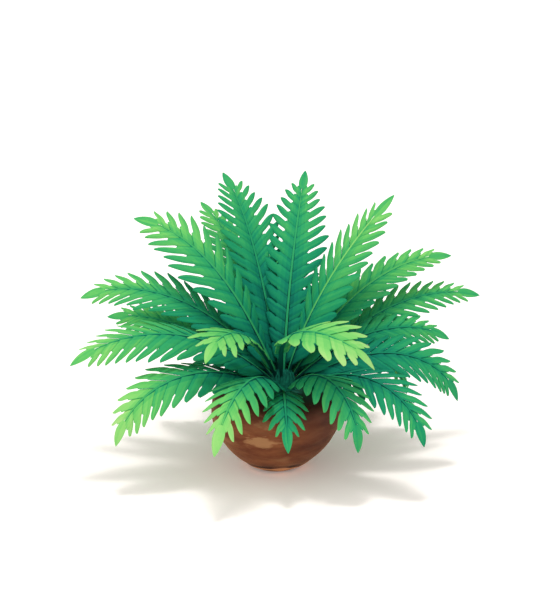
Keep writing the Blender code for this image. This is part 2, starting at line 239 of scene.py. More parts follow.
# azimuth and turn of the heading, pitch at the crown and at the tip, how late it bends, length,
# roll at the tip, fold of the leaflets, their size, their angle to the rib, how long they are at
# the crown, where they are longest, and the bare share of the stalk
Frond = namedtuple("Frond", "azimuth turn rise nod bend length roll fold size angle base full bare")
FRONDS = {
    "upper_frond_left": Frond(114, 3, 63.6, 23.9, 2.65, 0.810, 1, -14, 1.06, 56, 0.60, 0.56, 0.12),
    "upper_frond_middle": Frond(80, 0, 80, 37, 0.7, 0.793, 0, -2, 1.02, 58, 0.52, 0.52, 0.12),
    "upper_frond_right": Frond(20, 1, 74.1, 42.7, 0.86, 0.732, -28, 0, 1.09, 48, 0.90, 0.32, 0.12),
    "upper_frond_behind": Frond(111, 10, 51.9, 16.5, 1.33, 0.843, 1, 0, 0.82, 50, 0.60, 0.50, 0.20),
    "young_frond_left": Frond(-140, 29, 62, -48, 1.6, 0.530, 15, 4, 0.94, 56, 0.22, 0.66, 0.30),
    "young_frond_right": Frond(-104, 108, 66, -60, 1.4, 0.635, -25, 0, 1.04, 60, 0.22, 0.64, 0.24),
    "front_frond_middle": Frond(-90, 5, 20, -60, 1.3, 0.415, 0, 10, 0.74, 50, 0.78, 0.40, 0.18),
    "front_frond_right": Frond(-58, -2, 35, -98, 1.55, 0.560, -10, 14, 0.98, 52, 0.78, 0.40, 0.16),
    "front_frond_left": Frond(-113, 2, 34, -64, 1.3, 0.620, 12, 14, 1.04, 52, 0.78, 0.40, 0.16),
    "middle_frond_1": Frond(30, -2, 53.7, -8.8, 1.48, 0.787, -44, 2, 0.70, 42, 0.74, 0.40, 0.14),
    "middle_frond_2": Frond(28, -3, 37.7, -19.3, 1.62, 0.815, -54, 8, 0.76, 42, 0.70, 0.40, 0.14),
    "middle_frond_3": Frond(8, 25, 44, -35, 1.2, 0.652, -56, 8, 0.74, 42, 0.78, 0.40, 0.18),
    "middle_frond_4": Frond(163, -11, 64.4, -0.8, 2.02, 0.793, 45, 6, 1.15, 48, 0.62, 0.46, 0.12),
    "middle_frond_5": Frond(170, -6, 52, -27, 1.4, 0.805, 52, 2, 0.88, 40, 0.62, 0.40, 0.14),
    "middle_frond_6": Frond(158, -4, 35, -14, 1.3, 0.685, 46, 4, 0.82, 42, 0.78, 0.40, 0.16),
    "middle_frond_7": Frond(-166, -2, 45, -38, 1.25, 0.770, 36, 14, 1.13, 48, 0.78, 0.40, 0.16),
    "outer_frond_1": Frond(-8, 18, 33, -77, 1.7, 0.665, -58, 6, 0.90, 44, 0.78, 0.40, 0.16),
    "outer_frond_2": Frond(-36, -5, 28, -80, 1.7, 0.640, -34, 10, 0.90, 46, 0.78, 0.40, 0.16),
    "outer_frond_3": Frond(-150, -4, 28, -78, 1.6, 0.695, 44, 12, 0.97, 50, 0.78, 0.40, 0.16),
    "back_frond_1": Frond(90, 0, 57, -8, 1.4, 0.690, 0, 4, 0.96, 48, 0.78, 0.40, 0.16),
    "back_frond_2": Frond(64, 4, 54, -30, 1.3, 0.720, -8, 8, 0.94, 48, 0.78, 0.40, 0.16),
    "back_frond_3": Frond(58, 0, 37, -56, 1.4, 0.720, -12, 10, 0.98, 48, 0.78, 0.40, 0.16),
    "back_frond_4": Frond(84, 0, 40, -52, 1.4, 0.740, 0, 10, 0.98, 48, 0.78, 0.40, 0.16),
    "back_frond_5": Frond(112, 0, 38, -54, 1.4, 0.740, 0, 10, 0.98, 48, 0.78, 0.40, 0.16),
    "back_frond_6": Frond(134, 2, 37, -60, 1.4, 0.700, 12, 10, 0.98, 48, 0.78, 0.40, 0.16),
    "back_frond_7": Frond(40, 0, 22, -74, 1.5, 0.640, -12, 10, 0.98, 48, 0.78, 0.40, 0.16),
    "back_frond_8": Frond(72, 0, 22, -74, 1.5, 0.640, 0, 10, 0.98, 48, 0.78, 0.40, 0.16),
    "back_frond_9": Frond(100, 0, 22, -74, 1.5, 0.640, 0, 10, 0.98, 48, 0.78, 0.40, 0.16),
    "back_frond_10": Frond(128, 0, 20, -74, 1.5, 0.640, 12, 10, 0.98, 48, 0.78, 0.40, 0.16),
}

# Share of the rib below a frond's lowest leaflets, how far apart they stand, how much more of each
# is grown together with the next, how much broader its free end is, the size of the tip leaflet,
# how pale the frond is near the crown and at its tip, how late it pales, and how much paler than
# the blade its fingers' ends, their edges and its rib are. Its darker foot is partly its own colour
# and partly painted shade of the crown
Tone = namedtuple("Tone", "start spacing web broad end foot tip late finger edge rib")
PLAIN_TONE = Tone(0.05, 0.046, 0.0, 0.0, 1.0, 0.22, 0.70, 0.8, -0.04, -0.07, -0.12)  # at the back
TONES = {
    "upper_frond_left": Tone(0.05, 0.041, 0.00, 0.00, 1.3, 0.14, 0.68, 0.85, -0.05, -0.07, 0.02),
    "upper_frond_middle": Tone(0.05, 0.044, 0.00, 0.00, 1.05, 0.12, 0.68, 0.70, -0.08, -0.07, 0.06),
    "upper_frond_right": Tone(0.05, 0.050, 0.00, 0.12, 1.35, 0.10, 0.84, 0.58, -0.07, -0.07, 0.24),
    "upper_frond_behind": Tone(0.05, 0.050, 0.00, 0.10, 1.1, 0.25, 0.80, 0.9, -0.05, -0.07, -0.04),
    "young_frond_left": Tone(0.07, 0.050, 0.18, 0.06, 1.2, 0.24, 0.94, 0.8, 0.14, 0.05, -0.10),
    "young_frond_right": Tone(0.19, 0.050, 0.16, 0.06, 1.2, 0.28, 1.02, 0.8, 0.20, 0.05, -0.10),
    "front_frond_middle": Tone(0.05, 0.050, 0.12, 0.08, 1.2, 0.38, 0.56, 0.7, 0.06, 0.02, -0.06),
    "front_frond_right": Tone(0.05, 0.052, 0.10, 0.06, 1.20, 0.34, 0.62, 0.7, 0.08, 0.02, -0.06),
    "front_frond_left": Tone(0.05, 0.060, 0.00, 0.00, 1.5, 0.24, 1.10, 1.20, 0.04, 0.02, -0.10),
    "middle_frond_1": Tone(0.05, 0.055, 0.14, 0.14, 1.2, 0.22, 0.80, 0.62, -0.06, -0.07, 0.06),
    "middle_frond_2": Tone(0.05, 0.048, 0.00, 0.00, 1.2, 0.33, 0.72, 0.8, -0.05, -0.07, -0.06),
    "middle_frond_3": Tone(0.05, 0.047, 0.06, 0.10, 1.2, 0.22, 0.66, 0.8, -0.03, -0.07, -0.06),
    "middle_frond_4": Tone(0.05, 0.054, 0.00, 0.00, 1.35, 0.14, 0.84, 0.74, -0.07, -0.07, 0.00),
    "middle_frond_5": Tone(0.05, 0.050, 0.04, 0.02, 1.35, 0.22, 0.86, 1.10, -0.04, -0.07, -0.06),
    "middle_frond_6": Tone(0.05, 0.048, 0.20, 0.12, 1.1, 0.28, 0.74, 0.75, -0.05, -0.07, -0.06),
    "middle_frond_7": Tone(0.05, 0.047, 0.08, 0.04, 1.3, 0.18, 0.88, 0.85, -0.01, 0.02, -0.08),
    "outer_frond_1": Tone(0.05, 0.046, 0.05, 0.10, 1.00, 0.12, 0.60, 0.8, 0.0, -0.07, -0.05),
    "outer_frond_2": Tone(0.05, 0.048, 0.05, 0.08, 1.00, 0.17, 0.58, 0.9, 0.0, -0.07, -0.05),
    "outer_frond_3": Tone(0.05, 0.050, 0.14, 0.10, 1.10, 0.20, 1.04, 1.15, 0.01, 0.02, -0.08),
}

GROUPS = {
    "upper": ("upper_frond_left", "upper_frond_middle", "upper_frond_right", "upper_frond_behind"),
    "young": ("young_frond_left", "young_frond_right"),
    "front": ("front_frond_left", "front_frond_middle", "front_frond_right"),
    "right": ("middle_frond_1", "middle_frond_2", "middle_frond_3", "outer_frond_1", "outer_frond_2"),
    "left": ("middle_frond_4", "middle_frond_5", "middle_frond_6", "middle_frond_7", "outer_frond_3"),
    "back_high": tuple(f"back_frond_{n}" for n in range(1, 6)),
    "back_low": tuple(f"back_frond_{n}" for n in range(6, 11)),
}

# Camera: the photograph's frame, and the real size of one of its pixels at the trunk
PHOTO_LONG_SIDE = 614
METRES_PER_PIXEL = 0.00343
CAMERA_ELEVATION = 15.0
CAMERA_DISTANCE = 6.0
CAMERA_TARGET = Vector((0.0141, 0.0, 0.571))
CAMERA_SIGHT = 200.0
SENSOR = 36.0

# The stage: a pale floor that glows a little, and soft daylight
FLOOR_REACH = 60.0
FLOOR_DROP = 0.0005  # how far it lies under the trunk's foot
FLOOR_COLOUR = (0.99, 0.885, 0.85, 1.0)
FLOOR_GLOW = (1.0, 0.76, 0.67, 1.0)
FLOOR_GLOW_STRENGTH = 0.17
SKY_COLOUR = (0.90, 1.0, 1.0, 1.0)
SKY_STRENGTH = 0.66
Sun = namedtuple("Sun", "strength softness azimuth elevation tint")
SUNS = {
    "overhead": Sun(1.30, 9.0, -90.0, 88.0, (0.95, 1.0, 1.0)),
    "from_left": Sun(1.17, 100.0, -108.0, 42.0, (0.96, 1.0, 1.0)),
}

Place = namedtuple("Place", "point along across up")

# A leaflet's space: shares of its length and the last of them that is grown together, then at each
# share the back and the front edge and their direction, and the frond's upward direction
Space = namedtuple("Space", "shares web back front lines up")


# Small tools


def blend(first, last, share):
    return first + (last - first) * share


def clamp(value):
    return max(0.0, min(1.0, value))


def smooth(share):
    share = clamp(share)
    return share * share * (3 - 2 * share)


def linear(level):
    """The linear value of an sRGB level from 0 to 255."""
    level /= 255
    return level / 12.92 if level <= 0.04045 else ((level + 0.055) / 1.055) ** 2.4


def colour(red, green, blue):
    return (linear(red), linear(green), linear(blue), 1.0)


def on_ball(polar, turn):
    """A point of the unit ball, by its angle from the top and its turn around."""
    return math.sin(polar) * math.cos(turn), math.sin(polar) * math.sin(turn), math.cos(polar)


def add_piece(name, mesh, replaced):
    piece = bpy.data.objects.new(name, mesh)
    bpy.context.scene.collection.objects.link(piece)
    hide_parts(*replaced)
    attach(piece, "root")


# Materials

NOISE_SPAN = (0.3, 0.7)  # nearly all of a noise's values
# A mixing node's sockets for colours, which have the same names as its others
MIX_FIRST = 6
MIX_LAST = 7
MIX_RESULT = 2


def new_material(name):
    made = bpy.data.materials.new(name)
    made.use_nodes = True
    return made, made.node_tree, made.node_tree.nodes["Principled BSDF"]


def set_values(node, values):
    for name, value in values.items():
        node.inputs[name].default_value = value


def scaled_noise(tree, source, stretch, size, detail, roughness=0.5):
    """The outputs of a noise texture that is stretched along each axis."""
    mapping = tree.nodes.new("ShaderNodeMapping")
    set_values(mapping, {"Scale": stretch})
    texture = tree.nodes.new("ShaderNodeTexNoise")
    set_values(texture, {"Scale": size, "Detail": detail, "Roughness": roughness})
    tree.links.new(source, mapping.inputs["Vector"])
    tree.links.new(mapping.outputs["Vector"], texture.inputs["Vector"])
    return texture.outputs


def shifted(tree, source, stretch, size, detail, most):
    """Places shifted by noise, so that what is placed by them has a ragged outline."""
    values = scaled_noise(tree, source, stretch, size, detail)["Color"]
    centred, moved = (tree.nodes.new("ShaderNodeVectorMath") for _ in range(2))
    centred.operation, moved.operation = "SUBTRACT", "MULTIPLY_ADD"
    centred.inputs[1].default_value = (0.5, 0.5, 0.5)
    moved.inputs[1].default_value = most
    tree.links.new(values, centred.inputs[0])
    tree.links.new(centred.outputs["Vector"], moved.inputs[0])
    tree.links.new(source, moved.inputs[2])
    return moved.outputs["Vector"]


def spread(tree, value, span, new_span):
    """A value from one span of numbers, turned into the same share of another."""
    node = tree.nodes.new("ShaderNodeMapRange")
    set_values(node, dict(zip(("From Min", "From Max", "To Min", "To Max"), (*span, *new_span))))
    tree.links.new(value, node.inputs["Value"])
    return node.outputs["Result"]


def mixed(tree, share, first, last):
    """A colour between two others. Each is a colour or an output."""
    node = tree.nodes.new("ShaderNodeMix")
    node.data_type = "RGBA"
    tree.links.new(share, node.inputs["Factor"])
    for socket, value in ((node.inputs[MIX_FIRST], first), (node.inputs[MIX_LAST], last)):
        if isinstance(value, tuple):
            socket.default_value = value
        else:
            tree.links.new(value, socket)
    return node.outputs[MIX_RESULT]


def nearness(tree, source, middle, reach):
    """1 inside an egg-shaped space of these half lengths round a point, fading to 0 outside it."""
    shift = tree.nodes.new("ShaderNodeMapping")
    shift.inputs["Location"].default_value = [-m / r for m, r in zip(middle, reach)]
    shift.inputs["Scale"].default_value = [1 / r for r in reach]
    away = tree.nodes.new("ShaderNodeVectorMath")
    away.operation = "LENGTH"
    tree.links.new(source, shift.inputs["Vector"])
    tree.links.new(shift.outputs["Vector"], away.inputs[0])
    return spread(tree, away.outputs["Value"], SPOT_FADES, (1, 0))


def add_bump(tree, shader, height, strength, distance):
    bump = tree.nodes.new("ShaderNodeBump")
    set_values(bump, {"Strength": strength, "Distance": distance})
    tree.links.new(height, bump.inputs["Height"])
    tree.links.new(bump.outputs["Normal"], shader.inputs["Normal"])


def leaf_material(name, tint):
    """A leathery leaf of one plain colour, with parallel veins and an uneven gloss."""
    made, tree, shader = new_material(name)
    set_values(shader, {"Base Color": tint, "Specular IOR Level": 0.04})
    places = tree.nodes.new("ShaderNodeTexCoord")
    gloss = scaled_noise(tree, places.outputs["Object"], stretch=(1, 1, 1), size=38.0, detail=3.0)
    roughness = spread(tree, gloss["Fac"], NOISE_SPAN, (0.55, 0.75))
    tree.links.new(roughness, shader.inputs["Roughness"])
    veins = scaled_noise(tree, places.outputs["UV"], stretch=(1, 0.06, 1), size=26.0, detail=2.0)
    add_bump(tree, shader, veins["Fac"], strength=0.35, distance=0.0008)
    return made


def tint_colour(light):
    """The colour of a leaf that is this pale, from 0 to 1."""
    for (low, first), (high, last) in zip(TINT_KEYS, TINT_KEYS[1:]):
        if light <= high:
            break
    share = clamp((light - low) / (high - low))
    return colour(*(blend(a, b, share) for a, b in zip(first, last)))


def tint_of(light):
    return round(clamp(light) * (TINTS - 1))


# Fronds, by the solids' rule


def heading(azimuth, pitch):
    a, p = math.radians(azimuth), math.radians(pitch)
    return Vector((math.cos(p) * math.cos(a), math.cos(p) * math.sin(a), math.sin(p)))


def course(frond, t):
    return frond.azimuth + frond.turn * t, blend(frond.rise, frond.nod, t**frond.bend)


def rib_places(frond):
    """Places along a rib, from its foot on the crown to its tip."""
    point = CROWN_CENTRE + CROWN_RADIUS * heading(frond.azimuth, frond.rise)
    places = []
    for step in range(RIB_STEPS + 1):
        t = step / RIB_STEPS
        azimuth, pitch = course(frond, t)
        along, across = heading(azimuth, pitch), heading(azimuth - 90, 0)
        roll = math.radians(frond.roll) * t**ROLL_POWER
        rolled = across * math.cos(roll) + across.cross(along) * math.sin(roll)
        places.append(Place(point.copy(), along, rolled, rolled.cross(along)))
        point += heading(*course(frond, t + 0.5 / RIB_STEPS)) * frond.length / RIB_STEPS
    return places


def place_at(places, t):
    whole = clamp(t) * RIB_STEPS
    first = min(int(whole), RIB_STEPS - 1)
    share = whole - first
    return Place(*(a.lerp(b, share) for a, b in zip(places[first], places[first + 1])))


def tip_lobe_share(frond, tone):
    return TIP_LOBE_LENGTH * blend(1.0, tone.end, 0.5) / frond.length


def width_at(u, frond):
    """Half a frond's width at a share u of its leafy part, of its greatest."""
    if u < frond.full:
        return 1 - (1 - frond.base) * (1 - u / frond.full) ** WIDTH_RISE
    return 1 - (1 - WIDTH_AT_TIP) * ((u - frond.full) / (1 - frond.full)) ** WIDTH_FADE


def rib_half_width(t):
    swollen = blend(STALK_NECK, 1.0, smooth(t / STALK_SWOLLEN_AT))
    return blend(STALK_HALF_WIDTH, RIB_HALF_WIDTH, t**RIB_THINS) * swollen


class Sheets:
    """Grids of points that become one joined mesh, with a tint and leaf coordinates for each face."""

    def __init__(self):
        self.points, self.faces, self.tints, self.marks = [], [], [], []

    def add_grid(self, rows, tints, marks, flip, closed=False):
        """rows of points, a tint for each face, and leaf coordinates for each point."""
        start, width = len(self.points), len(rows[0])
        for row in rows:
            self.points += row
        for row_marks in marks:
            self.marks += row_marks
        spans = width if closed else width - 1
        for r in range(len(rows) - 1):
            for c in range(spans):
                a, b = start + r * width + c, start + r * width + (c + 1) % width
                face = (a, b, b + width, a + width)
                self.faces.append(face[::-1] if flip else face)
                self.tints.append(tints[r][c])
        return start

    def mesh(self, name, materials):
        mesh = bpy.data.meshes.new(name)
        mesh.from_pydata(self.points, [], self.faces)
        for material in materials:
            mesh.materials.append(material)
        mesh.polygons.foreach_set("material_index", self.tints)
        layer = mesh.uv_layers.new(name="leaf")
        for loop in mesh.loops:
            layer.data[loop.index].uv = self.marks[loop.vertex_index]
        return mesh


def light_at(tone, t):
    """How pale a frond is at a share t of its rib, from 0 to 1, with painted light near the crown."""
    # painted light lifting the shade of the crown's hollow
    hollow = HOLLOW_PAINTED_LIGHT * (1 - smooth(t / HOLLOW_SHARE))
    # darker towards the crown: partly the frond's own colour, partly painted shade
    return blend(tone.foot, tone.tip, t**tone.late) + hollow


def finger_profile(w, web, broad):
    """A leaflet's width at a share w of its length, of the space it has."""
    if w <= web:
        return WEB_WIDTH
    s = (w - web) / (1 - web)
    free = broad + FINGER_BULGE * math.sin(math.pi * s)
    width = blend(WEB_WIDTH, free, smooth(s / FINGER_FREE_BY))
    if s > TIP_FROM:
        end = (s - TIP_FROM) / (1 - TIP_FROM)
        width *= max(TIP_LEAST, (1 - end**TIP_POWER) ** TIP_ROUND)
    return width


def leaflet_edge(start, place, side, angle, fold, reach, shares, web, play):
    """Points along one edge of a leaflet's space, from the rib outwards, and its direction there."""
    points, lines = [start], []
    for w_in, w_out in zip(shares, shares[1:]):
        w = (w_in + w_out) / 2
        loose = smooth((w - web) / (1 - web))
        bent = math.radians(angle + BOW * (w - BOW_MIDDLE) + play * loose)
        sag = math.radians(fold + DROOP * w)
        out = place.across * side * math.cos(sag) - place.up * math.sin(sag)
        line = place.along * math.cos(bent) + out * math.sin(bent)
        lines.append(line)
        points.append(points[-1] + line * reach * (w_out - w_in))
    return points, lines + [lines[-1]]


def leaflet_space(frond, tone, places, stations, side, u, draw):
    """The space that a leaflet has between two stations of the rib."""
    web = min(WEB_MOST, blend(WEB_AT_FOOT, WEB_AT_TIP, u**WEB_FADE) + tone.web)
    shares = [web * s for s in WEB_ROWS] + [blend(web, 1.0, s) for s in FINGER_ROWS]
    angle = frond.angle + blend(FOOT_ANGLE, TIP_ANGLE, u)
    reach = BLADE_HALF_WIDTH * frond.size * width_at(u, frond) / math.sin(math.radians(angle))
    reach *= blend(LOWEST_WIDTH, 1.0, smooth((stations[1] - tone.start) / LOW_LEAFLETS))
    reach *= 1 + draw.uniform(-1, 1) * REACH_PLAY
    play = draw.uniform(-1, 1) * ANGLE_PLAY
    edges = []
    for t in stations:
        place = place_at(places, t)
        start = place.point + place.across * side * rib_half_width(t) * LEAFLET_ROOT
        edges.append(leaflet_edge(start, place, side, angle, frond.fold, reach, shares, web, play))
    (back, lines), (front, _) = edges
    return Space(shares, web, back, front, lines, place.up)


def leaflet_row(space, i, loose, half, size):
    """Points across a leaflet, with its rounded face, its middle vein and its hooked tip."""
    across = space.front[i] - space.back[i]
    normal = across.cross(space.lines[i]).normalized()
    if normal.dot(space.up) < 0:
        normal = -normal
    middle = (space.back[i] + space.front[i]) / 2 + across * TIP_HOOK * loose**2
    risen = smooth(space.shares[i] / PILLOW_RISE + PILLOW_AT_RIB)
    height = PILLOW * size * min(1.0, half) * risen
    row = []
    for v in COLUMNS:
        lift = height * (1 - v * v - (CREASE if v == 0 else 0)) + TILT * v
        row.append(middle + across * (0.5 * v * half) + normal * lift)
    return row


def leaflet_tints(tone, light, w, loose, streaks):
    """Tints across a leaflet at a share w of its length, with its edges, its streaks and painted shade.
    """
    # painted shade beside the rib, and in the creases between grown-together leaflets
    here = light + tone.finger * loose + INNER_PAINTED_SHADE * (1 - smooth(w / INNER_SHARE))
    edge = tint_of(here + blend(SEAM_PAINTED_SHADE, tone.edge, smooth(loose / EDGE_FREE_BY)))
    return [edge] + [tint_of(here + streak) for streak in streaks[1:-1]] + [edge]


def add_leaflet(sheets, frond, tone, places, stations, side, u, draw):
    """One leaflet between two stations of the rib, at a share u of the frond's leafy part."""
    space = leaflet_space(frond, tone, places, stations, side, u, draw)
    streaks = [draw.uniform(-1, 1) * STREAK_PLAY for _ in COLUMNS[1:]]
    light = light_at(tone, sum(stations) / 2)
    # painted light on one side of a rolled frond, lifting its shade
    light += draw.uniform(-1, 1) * TINT_PLAY + RAISED_SIDE_PAINTED_LIGHT * clamp(side * frond.roll / ROLLED)
    broad = blend(FINGER_WIDTH_FOOT, FINGER_WIDTH_TIP, u) + tone.broad
    rows, tints, marks = [], [], []
    for i, w in enumerate(space.shares):
        loose = clamp((w - space.web) / (1 - space.web))
        half = finger_profile(w, space.web, broad)
        rows.append(leaflet_row(space, i, loose, half, frond.size))
        tints.append(leaflet_tints(tone, light, w, loose, streaks))
        marks.append([(0.5 + 0.5 * v, w) for v in COLUMNS])
    sheets.add_grid(rows, tints, marks, flip=side < 0)


def tip_lobe_profile(s):
    """Half the tip leaflet's width at a share s of its length, of its greatest."""
    if s < TIP_LOBE_WIDEST:
        return blend(TIP_LOBE_FOOT, 1.0, math.sin(math.pi / 2 * s / TIP_LOBE_WIDEST))
    end = (s - TIP_LOBE_WIDEST) / (1 - TIP_LOBE_WIDEST)
    return max(TIP_LOBE_POINT, (1 - end**TIP_LOBE_POWER) ** TIP_LOBE_ROUND)


def add_tip_lobe(sheets, frond, tone, places, draw):
    """The leaflet that ends the frond, in line with its rib."""
    streaks = [draw.uniform(-1, 1) * STREAK_PLAY for _ in COLUMNS[1:]]
    first = 1 - tip_lobe_share(frond, tone)
    width = TIP_LOBE_HALF_WIDTH * math.sqrt(tone.end)
    rows, tints, marks = [], [], []
    for i in range(TIP_LOBE_ROWS + 1):
        s = i / TIP_LOBE_ROWS
        t = blend(first, 1.0, s)
        place = place_at(places, t)
        half = width * tip_lobe_profile(s)
        row = []
        for v in COLUMNS:
            lift = 1 - v * v - (CREASE if v == 0 else 0)
            raised = place.up * PILLOW * frond.size * lift * (1 - s)
            row.append(place.point + place.across * v * half + raised)
        rows.append(row)
        marks.append([(0.5 + 0.5 * v, s) for v in COLUMNS])
        light = light_at(tone, first) + tone.finger * s
        # painted shade beside the rib
        light += INNER_PAINTED_SHADE * (1 - smooth(s / TIP_LOBE_INNER_SHARE)) + TIP_LOBE_TINT * s
        tints.append([tint_of(light + streak) for streak in streaks])
    sheets.add_grid(rows, tints, marks, flip=False)


def leaflet_shares(pairs):
    """Where the leaflets' borders lie along a rib, wider apart at its foot, closer at its tip."""
    gaps = []
    for s in ((i + 0.5) / pairs for i in range(pairs)):
        gaps.append(blend(GAP_AT_FOOT, 1.0, smooth(s / GAP_FOOT_SHARE)) * blend(1.0, GAP_AT_TIP, s))
    return [sum(gaps[:i]) / sum(gaps) for i in range(pairs + 1)]


def add_leaflets(sheets, frond, tone, places, draw):
    top = 1 - tip_lobe_share(frond, tone)
    pairs = round((top - tone.start) * frond.length / tone.spacing)
    shares = leaflet_shares(pairs)
    for pair in range(pairs):
        stations = [blend(tone.start, top, shares[pair + i]) for i in (0, 1)]
        u = clamp((sum(stations) / 2 - frond.bare) / (top - frond.bare))
        for side in (-1, 1):
            add_leaflet(sheets, frond, tone, places, stations, side, u, draw)
    add_tip_lobe(sheets, frond, tone, places, draw)


def add_rib(sheets, frond, tone, places):
    sides = len(RIB_OUTLINE)
    rows, tints, marks = [], [], []
    for i in range(RIB_STATIONS + 1):
        t = (1 - tip_lobe_share(frond, tone) * RIB_SHORT_BY) * i / RIB_STATIONS
        place = place_at(places, t)
        half = rib_half_width(t)
        thick = blend(STALK_THICKNESS, RIB_THICKNESS, t) / 2
        taper = 1 - RIB_POINT * smooth((t - RIB_POINT_FROM) / RIB_POINT_SPAN)
        rows.append([
            place.point + place.across * x * half * taper + place.up * y * thick * taper
            for x, y in RIB_OUTLINE
        ])
        marks.append([(0.5 + 0.5 * x, t * RIB_MARKS) for x, _ in RIB_OUTLINE])
        light = light_at(tone, t)
        share = smooth(t / RIB_FADES_BY)
        # painted light and shade on the rib: a paler ridge over shaded sides and underside
        ridge, groove, edge = (
            tint_of(light + blend(*pair, share) + tone.rib * share)
            for pair in (RIB_RIDGE_PAINTED_LIGHT, RIB_GROOVE_PAINTED_SHADING, RIB_SIDE_PAINTED_SHADE)
        )
        upper = [edge, ridge, groove, groove, ridge]
        tints.append(upper + [edge] * (sides - len(upper)))
    start = sheets.add_grid(rows, tints, marks, flip=True, closed=True)
    end = start + RIB_STATIONS * sides
    sheets.faces += [tuple(start + c for c in range(sides)), tuple(end + c for c in range(sides))[::-1]]
    sheets.tints += [tints[0][0], tints[-1][0]]


def thickened(name, mesh):
    """The closed mesh that an open sheet gives when it is a leaf thick."""
    helper = bpy.data.objects.new(name, mesh)
    bpy.context.scene.collection.objects.link(helper)
    thick = helper.modifiers.new("Thickness", "SOLIDIFY")
    thick.thickness = LEAF_THICKNESS
    thick.offset = -1.0
    graph = bpy.context.evaluated_depsgraph_get()
    solid = bpy.data.meshes.new_from_object(helper.evaluated_get(graph))
    bpy.data.objects.remove(helper)
    solid.name = name
    return solid


def finish_mesh(mesh):
    mesh.shade_smooth()
    mesh.set_sharp_from_angle(angle=math.radians(SMOOTH_UNDER))
    return mesh


def nodes_of(names):
    """The nodes of the solids' frame that these fronds stand for."""
    wanted = {name + end for name in names for end in ("", "_foot", "_end")}
    return sorted(wanted & set(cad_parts))


def make_fronds():
    leaf_tints = [
        leaf_material(f"leaf_{n:02d}", tint_colour(n / (TINTS - 1))) for n in range(TINTS)
    ]
    draw = random.Random(SEED)
    for group, names in GROUPS.items():
        blades, ribs = Sheets(), Sheets()
        for name in names:
            frond, tone = FRONDS[name], TONES.get(name, PLAIN_TONE)
            places = rib_places(frond)
            add_leaflets(blades, frond, tone, places, draw)
            add_rib(ribs, frond, tone, places)
        replaced = nodes_of(names)
        solid = thickened(group + "_leaflets", blades.mesh(group + "_sheet", leaf_tints))
        add_piece(group + "_leaflets", finish_mesh(solid), replaced)
        ribs_mesh = ribs.mesh(group + "_ribs", leaf_tints)
        add_piece(group + "_ribs", finish_mesh(ribs_mesh), replaced)


# Trunk


def trunk_point(x, y, z):
    """Where a point of the unit ball goes on the trunk, by the solid's rule."""
    if z > 0:
        reach = math.hypot(x, y)
        rise = (1 - min(1.0, reach) ** TRUNK_CAP_POWER) ** (1 / TRUNK_CAP_POWER)
        height = TRUNK_WIDEST_Z + (TRUNK_HEIGHT - TRUNK_WIDEST_Z) * rise
        slim = 1.0
    else:
        height = TRUNK_WIDEST_Z + TRUNK_RADIUS * z
        ball = math.sqrt(max(POLE, 1 - z**2))
        slim = (1 - abs(z) ** TRUNK_FOOT_POWER) ** (1 / TRUNK_FOOT_POWER) / ball
    turn = math.atan2(y, x)
    swell = sum(
        share * math.sin(waves * turn + twist * z + phase) for waves, twist, phase, share in SWELLS
    )
    radius = TRUNK_RADIUS * slim + TRUNK_SWELL * swell * (1 - abs(z))
    lean = TRUNK_LEAN * max(0.0, height / TRUNK_HEIGHT) ** LEAN_POWER
    return Vector((x * radius + lean, y * radius, height))


def wrinkle_depth(point):
    """How far the bark's wrinkles stand out at a point."""
    depth = 0.0
    for deep, around, upwards in WRINKLES:
        depth += deep * noise.noise(Vector((point.x * around, point.y * around, point.z * upwards)))
    return depth


def bark_point(polar, turn):
    """A point of the bark, its relief from 0 to 1, and how far it is lip, over 0, or groove."""
    x, y, z = on_ball(polar, turn)
    point = trunk_point(x, y, z)
    wrinkle = wrinkle_depth(point)
    edge = LIP_HEIGHT + LIP_WANDER * noise.noise(point * LIP_WAVES)
    lip = math.exp(-(((point.z - edge) / LIP_WIDTH) ** 2))
    groove = math.exp(-(((point.z - edge - GROOVE_ABOVE) / LIP_WIDTH) ** 2))
    groove *= smooth(GROOVE_SHARE + GROOVE_PLAY * noise.noise(point * GROOVE_WAVES))
    depth = wrinkle + LIP_DEPTH * (lip - GROOVE_DEPTH * groove)
    point += Vector((x, y, z)) * depth * min(1.0, RELIEF_KEPT - abs(z))
    point.z = max(0.0, point.z)
    return point, clamp(0.5 + 0.5 * wrinkle / WRINKLES[0][0]), lip - groove


def trunk_mesh(surface):
    foot = math.acos(-TRUNK_WIDEST_Z / TRUNK_RADIUS)
    points, reliefs, edges, faces = [], [], [], []
    for ring in range(1, BARK_RINGS + 1):
        for k in range(BARK_SIDES):
            point, relief, edge = bark_point(foot * ring / BARK_RINGS, 2 * math.pi * k / BARK_SIDES)
            if ring == BARK_RINGS:
                point.z = 0.0
            points.append(point)
            reliefs.append(relief)
            edges.append(edge)
    top = len(points)
    points.append(Vector((TRUNK_LEAN, 0.0, TRUNK_HEIGHT)))
    reliefs.append(0.5)
    edges.append(0.0)
    for k in range(BARK_SIDES):
        following = (k + 1) % BARK_SIDES
        faces.append((top, k, following))
        for ring in range(BARK_RINGS - 1):
            a, b = ring * BARK_SIDES + k, ring * BARK_SIDES + following
            faces.append((a, a + BARK_SIDES, b + BARK_SIDES, b))
    last = (BARK_RINGS - 1) * BARK_SIDES
    faces.append(tuple(last + k for k in range(BARK_SIDES))[::-1])
    mesh = bpy.data.meshes.new("trunk_bark")
    mesh.from_pydata(points, [], faces)
    mesh.materials.append(surface)
    for name, values in (("relief", reliefs), ("edge", edges)):
        mesh.attributes.new(name, "FLOAT", "POINT").data.foreach_set("value", values)
    return finish_mesh(mesh)


